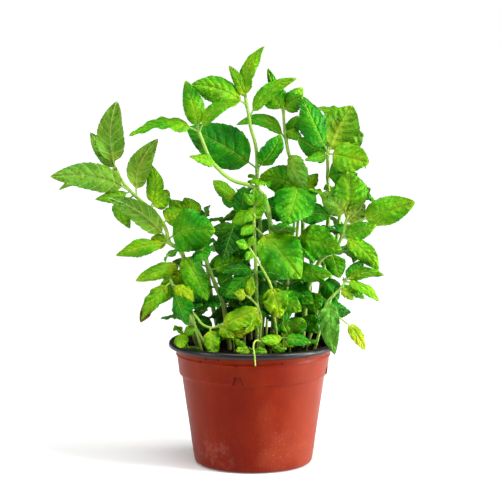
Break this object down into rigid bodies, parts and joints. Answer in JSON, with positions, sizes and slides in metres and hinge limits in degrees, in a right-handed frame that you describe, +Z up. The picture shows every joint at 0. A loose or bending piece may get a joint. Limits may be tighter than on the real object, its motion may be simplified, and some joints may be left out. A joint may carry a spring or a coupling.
{
  "type": "potted mint plant",
  "caption": "Leafy mint plant growing in a round two-tone plastic nursery pot filled with soil, with arching stems, toothed leaves and small seedlings at the rim.",
  "frame": {"origin": "centre of the pot's flat underside", "axes": "+Z up along the pot's axis, -Y towards the front, +X to the right seen from the front"},
  "size_m": [0.2755, 0.1618, 0.3201],
  "materials": {
    "pot_plastic": "satin",
    "soil": "rough",
    "leaf_bright": "satin",
    "leaf_deep": "satin",
    "leaf_yellow": "satin",
    "leaf_olive": "satin"
  },
  "bodies": {
    "root": {"pot": "pot_plastic", "soil": "soil", "stem_top_arching": "leaf_bright", "stem_top_middle": "leaf_deep", "stem_top_right": "leaf_bright", "stem_left": "leaf_bright", "stem_left_low": "leaf_bright", "shoot_front_left": "leaf_yellow", "stem_centre_left": "leaf_olive", "stem_centre_dark": "leaf_deep", "stem_centre": "leaf_deep", "shoot_centre": "leaf_yellow", "shoot_front_centre": "leaf_yellow", "stem_right_mid": "leaf_bright", "stem_right": "leaf_bright", "stem_right_top": "leaf_deep", "stem_right_back": "leaf_olive", "stem_right_low": "leaf_bright", "stem_back_left": "leaf_deep", "stem_back_middle": "leaf_deep", "stem_back_right": "leaf_deep", "stem_back_low": "leaf_olive", "stem_side_left_low": "leaf_olive", "seedling_front": "leaf_yellow", "seedling_right": "leaf_bright", "seedling_left": "leaf_yellow", "seedling_rim": "leaf_yellow", "runner_front": "leaf_yellow"}
  },
  "joints": []
}
